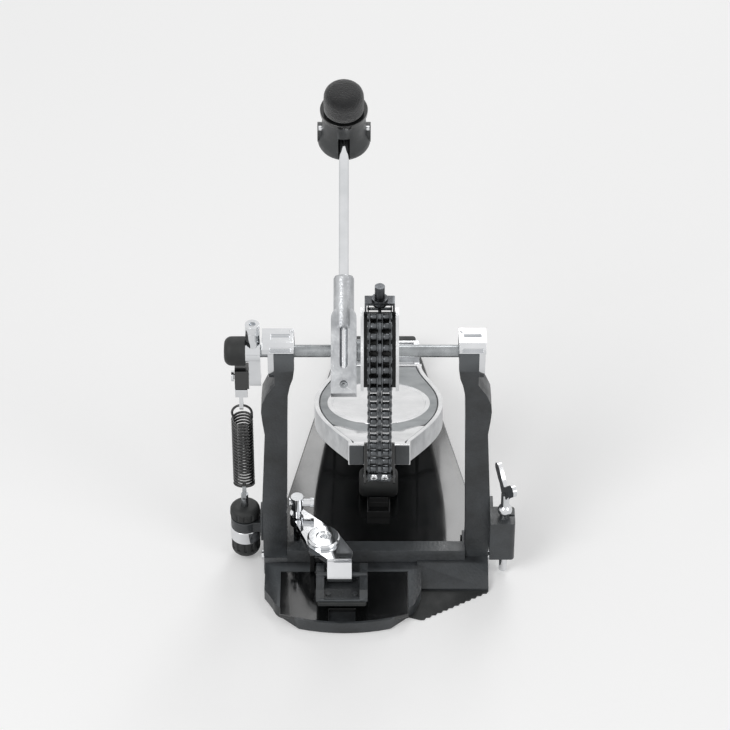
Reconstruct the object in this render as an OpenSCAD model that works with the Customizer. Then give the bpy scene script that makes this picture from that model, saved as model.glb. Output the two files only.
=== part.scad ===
// Bass drum pedal: a cast frame on a floor plate, a double chain over a cam,
// a sprung axle, a hinged footboard and a rocker clamp for the drum hoop.
// +X right, +Y towards the heel, +Z up. The origin is on the floor, below the
// axle and in the footboard's middle plane.

/* [Frame] */
// Height of the axle's centre above the floor
axle_h = 222; // [216:1:230]
// Diameter of the axle
axle_d = 10; // [9:0.5:11]
// Shift of the frame's middle plane from the footboard's
frame_cx = -2.4; // [-4:0.2:0]
// Distance from the frame's middle to a post's outer side, at its foot
post_out = 93.8; // [91:0.5:97]
// Height of the post feet's seat on the pedestal
seat_h = 14; // [12:0.5:16]
// Height of the crossbar between the posts
bar_h = 22; // [20:1:24]
// Half depth of a post at its top
post_half_depth = 14; // [13:0.5:15]

/* [Floor plate] */
// Thickness of the rubber sheet under the pedal
sheet_t = 1.5; // [1:0.25:2]
// Thickness of the steel floor plate
plate_t = 3; // [2.5:0.25:3.5]
// Rise of the plate's wings over its middle channel
wing_rise = 3; // [2:0.5:4]
// Half width of the middle channel
channel_half = 32; // [30:1:34]
// Where the plate ends behind the heel
plate_end_y = 266; // [262:1:272]
// Inset of the plate's front corners from the posts' outer sides
plate_inset = 5.8; // [4:0.2:9]
// Half width of the plate at the heel
plate_half_heel = 38; // [36:1:42]

/* [Footboard] */
// Distance of the heel hinge behind the axle
hinge_y = 218; // [214:1:222]
// Height of the heel hinge
hinge_z = 20; // [19:0.5:22]
// Slope of the footboard at rest
board_tilt = 25.4; // [24.5:0.1:26]
// Length from the hinge to the toe
board_l = 268; // [264:1:270]
// Greatest half width of the footboard
board_half = 54.5; // [52:0.5:57]
// Half width of the toe
toe_half = 25; // [24:0.5:27]
// Half width of the heel end
heel_half = 38; // [37:0.5:40]
// Depth of the footboard's side walls
skirt_h = 17; // [15:0.5:18]
// Width of the polished rim
rim_w = 4; // [3:0.25:5]

/* [Drive] */
// Pitch radius of the chain on the cam
cam_r = 44; // [42:0.5:45]
// Half width over the cam's side plates
cam_half = 15.1; // [14.5:0.1:15.5]
// Thickness of a side plate
cam_plate_t = 2.5; // [2:0.25:3]
// Links between the cam and the toe
run_links = 11; // [11:1:11]
// Links that roll off the cam
free_links = 4; // [4:1:4]
// Links that stay on the cam
fixed_links = 4; // [4:1:4]
// Half width over the chain's outer plates
chain_half = 9.5; // [9:0.1:9.8]

/* [Beater] */
// Lean of the beater behind the upright at rest
lean = 52; // [48:1:54]
// Middle of the beater, from the footboard's middle plane
beater_x = -28.5; // [-30:0.5:-27]
// Diameter of the beater's shaft
shaft_d = 8; // [8:0.5:9]
// Distance of the shaft's middle line in front of the axle's
shaft_off = 10.5; // [10.5:0.5:12]
// Distance from the axle to the head's pivot, along the shaft
head_s = 181; // [170:1:190]
// Tilt of the head on its shaft
head_tilt = 25; // [15:1:28]
// Diameter of the felt
felt_d = 32.4; // [30:0.5:35]
// Greatest diameter of the head
head_d = 43; // [41:0.5:45]

/* [Spring] */
// Middle of the spring, from the footboard's middle plane
spring_x = -111.4; // [-112:0.2:-111]
// Outer diameter of the spring
spring_d = 18; // [17:0.25:18.5]
// Diameter of the spring's wire
wire_d = 2; // [1.8:0.1:2.1]
// Curls of the spring
curls = 21; // [19:1:21]
// Length of the lever that stretches the spring
lever_r = 26; // [25:0.5:28]
// Diameter of the adjusting knobs
knob_d = 25; // [23:0.5:26]

/* [Hoop clamp] */
// Middle of the clamp's shoe, from the footboard's middle plane
shoe_x = -30.5; // [-32:0.5:-29]
// Height of the tray's pad, which the hoop rests on
tray_h = 11.5; // [11:0.25:12]
// Open gap between the pad and the shoe's rubber
hoop_gap = 10.5; // [9.5:0.25:11.5]
// Width of the shoe
shoe_w = 42; // [40:0.5:44]

/* [Hidden] */
$fn = 64;
run_fit = 0.05;      // radial play of a running pin
side_gap = 0.3;      // play beside a moving face
axle_r = axle_d / 2;
bearing_r = 11;
post_top = axle_h + 7;
cap_top = axle_h + 16;
left_face = frame_cx - 81.6;    // outer faces of the posts' upper ends
right_face = frame_cx + 81.6;
post_upper_w = 16;
foot_in = post_out - 19.4;      // inner side of a post at its foot
plate_half_front = post_out - plate_inset;
plate_top = sheet_t + plate_t;  // top of the plate's middle channel
wing_top = plate_top + wing_rise;
bevel_w = 8;
knuckle_r = 6.5;
pin_r = 3;
rim_top = 7;                    // top of the rim, above the hinge line
skirt_z = rim_top - skirt_h;
toe_pin = [-board_l - 8, -17.1];  // end of the chain, in the board's frame

// A point of the footboard's frame in the side view [y, z]
function board_pt(y, z) = [hinge_y + y * cos(board_tilt) + z * sin(board_tilt),
                           hinge_z - y * sin(board_tilt) + z * cos(board_tilt)];
// Chain: the run leaves the cam along a tangent and ends at the toe
chain_end = board_pt(toe_pin[0], toe_pin[1]);
end_vec = [chain_end[0], chain_end[1] - axle_h];
run_len = sqrt(end_vec[0] * end_vec[0] + end_vec[1] * end_vec[1] - cam_r * cam_r);
pitch = run_len / run_links;
link_turn = 2 * asin(pitch / (2 * cam_r));
leave_a = atan2(end_vec[1], -end_vec[0]) + acos(cam_r / norm(end_vec));
run_tilt = atan2(chain_end[0] - cam_pin(0)[0], cam_pin(0)[1] - chain_end[1]);
bed_r = cam_r * cos(link_turn / 2) - 4.3;
// Pin k of the chain on the cam, counted from where the run leaves it [y, z]
function cam_pin(k) = [-cam_r * cos(leave_a + k * link_turn),
                       axle_h + cam_r * sin(leave_a + k * link_turn)];

// ---- shared shapes ----

function arc(cx, cy, r, a0, a1, n) =
    [for (i = [0 : n]) [cx + r * cos(a0 + (a1 - a0) * i / n),
                        cy + r * sin(a0 + (a1 - a0) * i / n)]];

// A straight bar with round ends between two points, in the plane
module stadium(p, q, r) {
    a = atan2(q[1] - p[1], q[0] - p[0]);
    polygon(concat(arc(q[0], q[1], r, a - 90, a + 90, 12), arc(p[0], p[1], r, a + 90, a + 270, 12)));
}

// A side view [y, z] given thickness along X, from x0 to x1
module side_slab(x0, x1) {
    translate([x0, 0, 0]) rotate([90, 0, 90]) linear_extrude(x1 - x0) children();
}

// A cylinder along X
module x_rod(x0, x1, y, z, r) {
    translate([x0, y, z]) rotate([0, 90, 0]) cylinder(h = x1 - x0, r = r);
}

// A rounded plate outline, corner to corner
module round_rect(x0, y0, x1, y1, r) {
    polygon(concat(arc(x1 - r, y1 - r, r, 0, 90, 6), arc(x0 + r, y1 - r, r, 90, 180, 6),
                   arc(x0 + r, y0 + r, r, 180, 270, 6), arc(x1 - r, y0 + r, r, 270, 360, 6)));
}

module on_axle() { translate([0, 0, axle_h]) children(); }

// Beater's frame: the shaft runs along +Z, the striking side faces -Y
module beater_frame() { translate([beater_x, 0, axle_h]) rotate([-lean, 0, 0]) children(); }

// Head's frame: its pivot at the origin, the felt towards -Y
module head_frame() {
    beater_frame() translate([0, -shaft_off, head_s]) rotate([-head_tilt, 0, 0]) children();
}

// Footboard's frame: hinge line at the origin, the toe towards -Y
module board_frame() {
    translate([0, hinge_y, hinge_z]) rotate([-board_tilt, 0, 0]) children();
}

// ---- floor ----

back_y = 14;        // back face of the pedestal, where the plate starts
plate_front_y = back_y;
tray_left = frame_cx - post_out + 1.4;
tray_right = 35;
tray_corner_y = -78;
tray_nose_y = -96;

// Outline of the tray: straight sides, round corners and a bowed front edge
function tray_edge(inset) =
    let (r = 12 - inset / 2, x0 = tray_left + 7 + inset, x1 = tray_right - 4 - inset,
         mid = (x0 + x1) / 2, half = (x1 - x0) / 2 - r)
    concat([[tray_left + inset, -24], [tray_left + inset, -56]],
           arc(x0 + r, tray_corner_y + r - inset / 2, r, 190, 250, 6),
           [for (i = [1 : 9]) let (u = -1 + i / 5)
               [mid + half * u, tray_nose_y + inset + 8 * u * u]],
           arc(x1 - r, tray_corner_y + r - inset / 2, r, 290, 350, 6),
           [[tray_right - inset, -56], [tray_right - inset, -24]]);

step_y = -46;       // front edge of the step on the right
bar_back = -8;      // back face of the crossbar between the posts

module pedestal_outline() {
    half = post_out - 0.4;
    polygon([[frame_cx - half, back_y], [frame_cx - half, -24], [tray_left, -26],
             [tray_right - 6, -26], [tray_right - 6, step_y], [frame_cx + half, step_y],
             [frame_cx + half, back_y]]);
}

module under_sheet() {
    teeth = 12;
    half = post_out - 0.4;
    a = [frame_cx + half, step_y];
    b = [tray_right - 1, -80];
    step = (b - a) / teeth;
    out = [step[1], -step[0]] / norm(step) * 1.6;
    color("dimgray") linear_extrude(sheet_t) union() {
        pedestal_outline();
        polygon(tray_edge(1));
        polygon(concat([[tray_right - 30, -40], [frame_cx + half, -40]],
            [for (i = [0 : teeth - 1]) each [a + step * i, a + step * (i + 0.5) - out]],
            [b, [tray_right - 30, -70]]));
        rubber_edge();
    }
    // raised strips that carry the plate's wings
    color("dimgray") translate([0, 0, sheet_t]) linear_extrude(wing_rise) difference() {
        rubber_edge();
        translate([-channel_half - bevel_w - 2, 0])
            square([2 * (channel_half + bevel_w + 2), plate_end_y]);
        translate([-100, 0]) square([200, back_y]);
    }
}

module rubber_edge() {
    polygon([[-plate_half_front + 1, 10], [-plate_half_heel + 1, plate_end_y - 8],
             [plate_half_heel - 1, plate_end_y - 8], [plate_half_front - 1, 10]]);
}

// Steel plate folded to a sunken channel with two raised wings
module base_plate() {
    c = channel_half;
    w = 100;
    low = sheet_t + wing_rise;
    r = 10;
    h = plate_half_heel;
    color("black") intersection() {
        translate([0, plate_end_y + 5, 0]) rotate([90, 0, 0])
            linear_extrude(plate_end_y + 5 - bar_back)
                polygon([[-w, low], [-w, wing_top], [-c - bevel_w, wing_top],
                         [-c, plate_top], [c, plate_top], [c + bevel_w, wing_top],
                         [w, wing_top], [w, low], [c + bevel_w + 1, low],
                         [c + 1, sheet_t], [-c - 1, sheet_t], [-c - bevel_w - 1, low]]);
        linear_extrude(20) polygon(concat(
            [[plate_half_front, plate_front_y]],
            arc(h - r, plate_end_y - r, r, 0, 90, 6),
            arc(-h + r, plate_end_y - r, r, 90, 180, 6),
            [[-plate_half_front, plate_front_y], [screw_at[0] + 6.5, plate_front_y],
             [screw_at[0] + 6.5, bar_back], [frame_cx + foot_in - 2.5, bar_back],
             [frame_cx + foot_in - 2.5, plate_front_y]]));
    }
}

// Cast crossbar with its post seats, and the tray in one piece with it
module pedestal() {
    half = post_out - 0.4;
    ridge = foot_in - side_gap;
    color("#2c2f30") difference() {
        union() {
            for (x = [frame_cx - half, frame_cx + foot_in - 2]) side_slab(x, x + half - foot_in + 2)
                polygon([[back_y, sheet_t], [back_y, seat_h], [-20, seat_h], [-24, seat_h - 4],
                         [-26, sheet_t]]);
            side_slab(frame_cx - ridge, frame_cx + ridge)
                polygon([[bar_back, sheet_t], [bar_back, bar_h], [-20, bar_h], [-24, seat_h - 6],
                         [-26, sheet_t]]);
            // boss that the clamp's screw stands on
            translate([frame_cx - ridge, -12, sheet_t])
                cube([screw_at[0] + 6 - frame_cx + ridge, 20, seat_h - sheet_t]);
            side_slab(tray_right - 3, frame_cx + half)
                polygon([[-10, sheet_t], [-10, seat_h], [-27, seat_h], [step_y, sheet_t + 2],
                         [step_y, sheet_t]]);
            translate([0, 0, sheet_t]) linear_extrude(tray_rim_z - sheet_t)
                polygon(tray_edge(0));
        }
        translate([0, 0, tray_h - tray_pad_t]) linear_extrude(10) tray_recess();
    }
}

tray_x0 = -81.5;
tray_x1 = 24;
tray_pad_t = 3.5;
tray_rim_z = tray_h + 0.6;

module tray_recess() {
    mid = (tray_x0 + tray_x1) / 2;
    half = (tray_x1 - tray_x0) / 2;
    polygon(concat([[tray_x1, -34], [tray_x0, -34]],
        [for (i = [0 : 8]) let (u = -1 + i / 4)
            [mid + half * u, tray_nose_y + 2.5 + 9.5 * u * u]]));
}

// Glossy pad in the tray, notched at the front
module tray_pad() {
    color("#151515") translate([0, 0, tray_h - tray_pad_t]) linear_extrude(tray_pad_t) difference() {
        tray_recess();
        translate([shoe_x - 11, -100]) square([22, 22]);
    }
}

bumper_y = 71;
bumper_r = 12.5;
bumper_z = plate_top + bumper_r;
cradle_t = 3;
rail_half = 9.5;

// Rubber barrel below the board, flat where it stands on its cradle
module bumper() {
    r = bumper_r;
    half = 16.6;
    color("#1c1c1c") difference() {
        x_profile(bumper_y, bumper_z) polygon(concat([[0, -half]],
            [for (i = [0 : 8]) let (a = 90 * i / 8)
                [r - 5 + 5 * sin(a), -half + 5 - 5 * cos(a)]],
            [for (i = [0 : 8]) let (a = 90 * i / 8)
                [r - 5 + 5 * cos(a), half - 5 + 5 * sin(a)]], [[0, half]]));
        translate([-30, bumper_y - 20, 0]) cube([60, 40, plate_top + cradle_t]);
        translate([0, bumper_y, bumper_z + 6]) cylinder(h = 10, r = 2.6);
    }
}

// A revolved body whose axis lies along X at the side-view point (y, z)
module x_profile(y, z) {
    translate([0, y, z]) rotate([0, 90, 0]) rotate_extrude() children();
}

// Folded holder that the barrel stands on, with two rails in front
module bumper_cradle() {
    front = 39.5;
    back = bumper_y + 11;
    color("#303030") difference() {
        translate([-rail_half, front, plate_top]) cube([2 * rail_half, back - front, 7]);
        translate([-rail_half + 1.6, front + 1.6, plate_top + cradle_t - 1.4])
            cube([2 * rail_half - 3.2, 16, 10]);
        translate([-30, bumper_y - bumper_r - 0.6, plate_top + cradle_t]) cube([60, 40, 10]);
    }
}

// ---- frame ----

// Front view of a post, as distances from the frame's middle
module post_front() {
    o = post_out;
    i = foot_in;
    upper = 81.6;
    inner = upper - post_upper_w;
    polygon([[i, seat_h], [i, seat_h + 12], [i - 2.2, axle_h - 72], [i - 3.1, axle_h - 38],
             [inner + 3.6, axle_h - 26], [inner + 1.2, axle_h - 18], [inner, axle_h - 8], [inner, post_top],
             [upper, post_top], [upper, axle_h - 25], [upper + 1.4, axle_h - 28],
             [o - 5.6, axle_h - 36], [o - 1.6, axle_h - 46], [o - 0.8, axle_h - 54],
             [o - 1.6, axle_h - 64], [o - 3.3, axle_h - 78], [o, seat_h + 60], [o, seat_h]]);
}

// Side view of a post: deep at the foot, waisted, round about the bearing
module post_side() {
    h = post_half_depth;
    top = axle_h;
    polygon(concat([[-18, seat_h], [-17.5, seat_h + 12], [-12.5, top - 76], [-12.5, top - 30]],
                   [[-h, top - 12], [-h, post_top], [h, post_top], [h, top - 12]],
                   [[12, top - 26], [13, top - 46], [9, top - 76], [7, seat_h + 20],
                    [11, seat_h + 6], [12, seat_h]]));
}

module post() {
    difference() {
        intersection() {
            translate([0, 40, 0]) rotate([90, 0, 0]) linear_extrude(80) post_front();
            side_slab(0, post_out + 10) post_side();
        }
        x_rod(40, 110, 0, axle_h, bearing_r);
        translate([40, -bearing_r, axle_h]) cube([70, 2 * bearing_r, 20]);
    }
}

module left_post() {
    color("#33383a") translate([frame_cx, 0, 0]) mirror([1, 0, 0]) post();
}

module right_post() {
    color("#33383a") translate([frame_cx, 0, 0]) post();
}

// Socket screws in the pedestal's ends that hold the posts
module post_bolts() {
    half = post_out - 0.4;
    color("silver") for (s = [-1, 1])
        translate([frame_cx + s * half, -10, seat_h - 6]) rotate([0, s * 90, 0]) difference() {
            cylinder(h = 2.4, r = 4);
            translate([0, 0, 1]) cylinder(h = 3, r = 2.2, $fn = 6);
        }
}

// Bearing cap on top of a post, with its ear down the outer side.
// side is 1 on the right and -1 on the left; face is the post's outer face.
cap_ear_t = 5;

module bearing_cap(face, side, over) {
    inner = face - side * post_upper_w;
    outer = face + side * over;
    x0 = min(inner, outer);
    x1 = max(inner, outer);
    w0 = min(face - side * 13.5, face + side * 3);
    w1 = max(face - side * 13.5, face + side * 3);
    e0 = min(face, face + side * cap_ear_t);
    difference() {
        union() {
            side_slab(x0, x1) polygon([[-13, post_top], [-13, cap_top - 4], [-9, cap_top],
                                       [9, cap_top], [13, cap_top - 4], [13, post_top]]);
            side_slab(e0, e0 + cap_ear_t)
                polygon([[-11, post_top + 1], [-11, axle_h], [-8, axle_h - 17], [-3, axle_h - 25],
                         [3, axle_h - 25], [8, axle_h - 17], [11, axle_h], [11, post_top + 1]]);
            translate([face - side * 13.9, 6, cap_top - 1]) cylinder(h = 2.2, r = 1.8);
        }
        x_rod(side > 0 ? inner - 1 : face, side > 0 ? face : inner + 1, 0, axle_h, bearing_r);
        x_rod(x0 - 1, x1 + 1, 0, axle_h, axle_r + 1.5);
        // recessed windows on the front and the top
        translate([w0, -20, axle_h + 8.6]) cube([w1 - w0, 9.5, 4.4]);
        translate([w0 + 1, -5, cap_top - 2]) cube([w1 - w0 - 2, 7, 6]);
    }
}

module left_cap() { color("#e2e2e2") bearing_cap(left_face, -1, 9.5); }

module right_cap() { color("#e2e2e2") bearing_cap(right_face, 1, 5.3); }

module bearing(face, side) {
    inner = face - side * 15.5;
    x0 = min(inner, face - side * 0.5);
    difference() {
        x_rod(x0, x0 + 15, 0, axle_h, bearing_r);
        x_rod(x0 - 1, x0 + 16, 0, axle_h, axle_r + run_fit);
        for (x = [x0 - 1, x0 + 14.2]) difference() {
            x_rod(x, x + 1.8, 0, axle_h, bearing_r - 1.8);
            x_rod(x - 1, x + 3, 0, axle_h, axle_r + 1.6);
        }
    }
}

module left_bearing() { color("silver") bearing(left_face, -1); }

module right_bearing() { color("silver") bearing(right_face, 1); }

// ---- heel ----

heel_half_w = 37;

module heel_plate() {
    floor = plate_top;
    color("#cfcfcf") difference() {
        union() {
            side_slab(-heel_half_w, heel_half_w)
                polygon([[hinge_y + 9, floor], [hinge_y + 9, 20], [hinge_y + 12, 26],
                         [hinge_y + 18, 27.5], [hinge_y + 31, 27.5], [hinge_y + 31, floor]]);
            for (x = [-heel_half_w, -12, heel_half_w - 5]) {
                w = x == -12 ? 24 : 5;
                side_slab(x, x + w) difference() {
                    union() {
                        translate([hinge_y, hinge_z]) circle(knuckle_r);
                        polygon([[hinge_y - 2, floor], [hinge_y - 5.6, hinge_z - 3],
                                 [hinge_y, hinge_z], [hinge_y + 10, 20],
                                 [hinge_y + 10, floor]]);
                    }
                    translate([hinge_y, hinge_z]) circle(pin_r);
                }
            }
        }
        for (s = [-1, 1]) bevel_cut(s);
        // sunk field in the top
        translate([-heel_half_w + 5, hinge_y + 17, 26.3]) cube([2 * heel_half_w - 10, 11, 4]);
    }
}

// Space over one of the plate's bevels, below what stands on the plate
module bevel_cut(s) {
    translate([0, plate_end_y + 5, 0]) rotate([90, 0, 0]) linear_extrude(120)
        polygon([[s * channel_half, 0], [s * channel_half, plate_top],
                 [s * (channel_half + bevel_w), wing_top], [s * (channel_half + bevel_w), 0]]);
}

module heel_pad() {
    r = 14;
    h = heel_half_w - 3;
    y0 = hinge_y + 31;
    color("#202020") difference() {
        intersection() {
            linear_extrude(40) polygon(concat([[-h, y0], [h, y0]],
                arc(h - r, y0 + 15 - r, r, 0, 90, 8), arc(-h + r, y0 + 15 - r, r, 90, 180, 8)));
            side_slab(-h, h) polygon(concat([[y0, plate_top]],
                [[y0 + 15, plate_top]], arc(y0, 13, 15, 0, 90, 8)));
        }
        for (s = [-1, 1]) bevel_cut(s);
    }
}

module heel_pin() {
    color("silver") {
        x_rod(-heel_half_w - 1, heel_half_w + 1, hinge_y, hinge_z, pin_r);
        for (s = [-1, 1])
            x_rod(s * (heel_half_w + 0.9) - 0.9, s * (heel_half_w + 0.9) + 0.9,
                  hinge_y, hinge_z, pin_r + 1.5);
    }
}

// ---- footboard ----

shoulder_s = 132;   // distance of the widest place from the toe

// Half width of the board at a distance s from its toe
function board_w(s) =
    s < 10 ? toe_half :
    s < shoulder_s ? toe_half + (board_half - toe_half) * sin(90 * (s - 10) / (shoulder_s - 10)) :
    s < shoulder_s + 6 ? board_half :
    heel_half + (board_half - heel_half) * (1 + cos(min(180, 180 * (s - shoulder_s - 6) / 124))) / 2;

// Outline of the board drawn in by d, between two distances from the toe
function board_outline(d, s0, s1) =
    let (n = 24, right = [for (i = [0 : n]) let (s = s0 + (s1 - s0) * i / n)
                              [board_w(s) - d, s - board_l]])
    concat(right, [for (i = [n : -1 : 0]) [-right[i][0], right[i][1]]]);

module footboard() {
    deck_z = rim_top - 1.5;
    wall = 3.5;
    color("#c9c9c9") board_frame() difference() {
        union() {
            translate([0, 0, skirt_z]) linear_extrude(skirt_h)
                polygon(board_outline(0, 0, board_l - 9));
            for (s = [-1, 1]) side_slab(s * 22 - 9.6, s * 22 + 9.6) {
                circle(knuckle_r);
                polygon([[-10, rim_top - 5], [-10, skirt_z + 5], [-4, -5], [0, 0],
                         [1, knuckle_r - 0.3], [-10, rim_top]]);
            }
        }
        // underside, with the toe's solid nose left in front
        difference() {
            translate([0, 0, skirt_z - 1]) linear_extrude(skirt_h - 4.5)
                polygon(board_outline(wall, 12, board_l - 15));
            for (y = [-220, -150, -80]) translate([-60, y - 1.5, skirt_z + 5])
                cube([120, 3, skirt_h]);
            translate([-1.5, -board_l, skirt_z + 5]) cube([3, board_l, skirt_h]);
        }
        // skirt gets shallower towards the heel
        translate([-70, 0, 0]) side_slab(0, 140)
            polygon([[-120, skirt_z - 1], [-8, skirt_z + 5], [0, skirt_z + 5], [0, skirt_z - 2]]);
        translate([0, 0, deck_z]) linear_extrude(4)
            polygon(board_outline(rim_w, rim_w + 1, board_l - 14));
        x_rod(-60, 60, 0, 0, pin_r + run_fit);
    }
}

oval_y = -board_l + 130;
oval_l = 67;
oval_w = 43;

module oval(l, w) {
    polygon([for (i = [0 : 47]) [w * cos(7.5 * i), oval_y + l * sin(7.5 * i)]]);
}

module board_field() {
    color("gray") board_frame() translate([0, 0, rim_top - 1.5]) linear_extrude(0.8)
        difference() {
            polygon(board_outline(rim_w + 0.6, rim_w + 3, board_l - 16));
            oval(oval_l + 0.4, oval_w + 0.4);
        }
}

// Plain polished oval with a raised ring
module board_oval() {
    color("white") board_frame() translate([0, 0, rim_top - 1.5]) {
        linear_extrude(1) oval(oval_l, oval_w);
        linear_extrude(1.6) difference() {
            oval(oval_l, oval_w);
            oval(oval_l - 4, oval_w - 4);
        }
    }
}

toe_cap_t = 2;

module toe_cap() {
    color("#262a29") board_frame() translate([-toe_half + 0.7, -board_l - toe_cap_t, skirt_z + 0.4])
        difference() {
            cube([2 * toe_half - 1.4, toe_cap_t, skirt_h - 1.2]);
            translate([toe_half - 0.7 - bracket_half, -1, -1])
                cube([2 * bracket_half, toe_cap_t + 2, skirt_h + 2]);
        }
}

bracket_half = 12.4;
ear_t = 1.4;
end_pin_r = 1.5;
slot_run = [3.6, 0.95];    // path of the chain's end pin in its slots
ear_r = 5.5;

// Channel on the toe; its ears hold the chain's end pin in slots
module toe_bracket() {
    z0 = toe_pin[1] - ear_r;
    z1 = rim_top + 2;
    back = -board_l;
    color("#3a3a3a") board_frame() difference() {
        union() {
            translate([-bracket_half, back - 2.5, z0]) cube([2 * bracket_half, 2.5, z1 - z0]);
            for (s = [-1, 1]) translate([s > 0 ? bracket_half - ear_t : -bracket_half, 0, 0])
                side_slab(0, ear_t) polygon(concat([[back, z1], [back, z0]],
                    arc(toe_pin[0] - slot_run[0], toe_pin[1], ear_r, 270, 150, 6),
                    [[back - 6, z1 - 3], [back - 4, z1]]));
        }
        side_slab(-20, 20) stadium(toe_pin, toe_pin - slot_run, end_pin_r + side_gap);
        for (x = [-6.5, 6.5]) translate([x, back - 5, 2]) rotate([-90, 0, 0])
            cylinder(h = 10, r = 2);
    }
}

// ---- axle and cam ----

axle_x0 = spring_x + 3.4;
axle_x1 = right_face + 4.8;

module axle() { color("silver") x_rod(axle_x0, axle_x1, 0, axle_h, axle_r); }

cam_a0 = leave_a - 4;
cam_a1 = leave_a + (free_links + fixed_links) * link_turn + 3;
cam_rim = cam_r - 0.5;
cam_hub_r = 13;

// Sector of the cam in the side view, between two radii
module sector(r0, r1) {
    polygon(concat(arc(0, 0, r0, 180 - cam_a0, 180 - cam_a1, 16),
                   arc(0, 0, r1, 180 - cam_a1, 180 - cam_a0, 16)));
}

module cam() {
    strip = 1.5;
    color("#b9bcbe") on_axle() difference() {
        union() {
            side_slab(-cam_half, cam_half) circle(cam_hub_r);
            for (x = [-cam_half, cam_half - cam_plate_t]) side_slab(x, x + cam_plate_t) sector(3, cam_rim);
            side_slab(-cam_half + 1, cam_half - 1) sector(bed_r - 6, bed_r - strip);
            side_slab(-3, 3) sector(3, bed_r - 4);
        }
        x_rod(-30, 30, 0, 0, axle_r);
        rotate([20, 0, 0]) translate([0, cam_hub_r - 1.5, 0]) rotate([-90, 0, 0])
            cylinder(h = 6, r = 3.2);
        // lightening holes through the plates and the web
        for (a = [20, 62]) x_rod(-30, 30, -24 * cos(a), 24 * sin(a), 6);
    }
}

// Soft strip that the chain lies on
module cam_strip() {
    color("#222222") on_axle() side_slab(-cam_half + cam_plate_t, cam_half - cam_plate_t)
        sector(bed_r - 1.5, bed_r);
}

// Screw that locks the cam to the axle, in the hub behind
module cam_screw() {
    color("dimgray") on_axle() rotate([20, 0, 0]) translate([0, cam_hub_r - 1.5, 0]) rotate([-90, 0, 0])
        difference() {
            cylinder(h = 5.5, r = 3.2);
            translate([0, 0, 3]) cylinder(h = 4, r = 1.7, $fn = 6);
        }
}

// Clip over the chain's first link, with its stud, nut and washer
clip_past = 1.3;     // turn of the clip past the chain's last pin

module chain_anchor() {
    top = cam_r + 8.6;
    half = 11.9;
    clip_turn = 90 - leave_a - (free_links + fixed_links) * link_turn - clip_past;
    color("#2b2b2b") on_axle() rotate([clip_turn, 0, 0]) {
        difference() {
            union() {
                translate([-half, -5, top - 2.4]) cube([2 * half, 10, 2.4]);
                for (s = [-1, 1]) translate([s > 0 ? half - 1.5 : -half, -5, bed_r + 0.1])
                    cube([1.5, 10, top - bed_r - 1]);
            }
            translate([0, 0, top - 4]) cylinder(h = 6, r = 4);
        }
        translate([0, 0, cam_r + 4.4]) cylinder(h = 1.8, r = 6);
    }
    color("#b87333") on_axle() rotate([clip_turn, 0, 0]) {
        translate([0, 0, cam_r + 5]) cylinder(h = 17, r = 4);
        translate([0, 0, top]) cylinder(h = 2, r = 6.4);
    }
}

// ---- chain ----

plate_r = 3.8;
inner_in = 1.5;
inner_t = 0.95;
roller_r = 2.7;
chain_pin_r = 1.3;
outer_t = 0.9;
mid_half = 1.3;

// Where one strand's plates lie along X
strand_out = chain_half - outer_t - 0.15;

// Inner link from p to q: bushes and side plates in both strands
module inner_link(p, q) {
    difference() {
        for (s = [-1, 1]) {
            in0 = s > 0 ? inner_in : -inner_in - inner_t;
            out0 = s > 0 ? strand_out - inner_t : -strand_out;
            side_slab(in0, in0 + inner_t) stadium(p, q, plate_r);
            side_slab(out0, out0 + inner_t) stadium(p, q, plate_r);
            for (c = [p, q]) x_rod(min(s * inner_in, s * strand_out),
                                   max(s * inner_in, s * strand_out), c[0], c[1], roller_r);
        }
        for (c = [p, q]) x_rod(-12, 12, c[0], c[1], chain_pin_r + run_fit);
    }
}

module outer_plates(p, q) {
    side_slab(-mid_half, mid_half) stadium(p, q, plate_r);
    for (x = [-chain_half, chain_half - outer_t]) side_slab(x, x + outer_t) stadium(p, q, plate_r);
}

module chain_pin(c) {
    x_rod(-chain_half - 0.4, chain_half + 0.4, c[0], c[1], chain_pin_r);
}

// Outer link from p to q: pins, outer plates and the middle plate
module outer_link(p, q) {
    outer_plates(p, q);
    chain_pin(p);
    chain_pin(q);
}

module cam_chain() {
    color("#4a4a4a") for (k = [0 : fixed_links - 1]) {
        p = cam_pin(free_links + k);
        q = cam_pin(free_links + k + 1);
        if (k % 2 == 0) inner_link(p, q);
        else outer_link(p, q);
    }
}

// Link k hangs below pin k+1, counted down from the cam
module free_link(k) {
    p = cam_pin(free_links - k + 1);
    q = cam_pin(free_links - k);
    color("#4a4a4a") if (k % 2 == 1) outer_link(p, q);
    else inner_link(p, q);
}

module chain_link_1() { free_link(1); }

module chain_link_2() { free_link(2); }

module chain_link_3() { free_link(3); }

module chain_link_4() { free_link(4); }

// Straight run down to the toe, with the end block and its pin
module chain_run() {
    p0 = cam_pin(0);
    u = (chain_end - p0) / run_len;
    color("#4a4a4a") {
        for (k = [0 : run_links - 2]) {
            p = p0 + u * pitch * k;
            q = p0 + u * pitch * (k + 1);
            if (k % 2 == 0) outer_link(p, q);
            else inner_link(p, q);
        }
        outer_plates(chain_end - u * pitch, chain_end);
        chain_pin(chain_end - u * pitch);
        translate([0, chain_end[0], chain_end[1]]) rotate([-run_tilt, 0, 0]) {
            translate([-chain_half + 0.3, -2.6, -4.2]) cube([2 * chain_half - 0.6, 5.2, 8.4]);
            for (x = [-4.4, 4.4]) translate([x, -2, 0.7]) rotate([90, 0, 0])
                cylinder(h = 2.2, r = 3.4);
        }
        x_rod(-bracket_half - 0.5, bracket_half + 0.5, chain_end[0], chain_end[1], end_pin_r);
    }
}

// ---- beater ----

holder_half = 10.2;
holder_front = 16;

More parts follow.
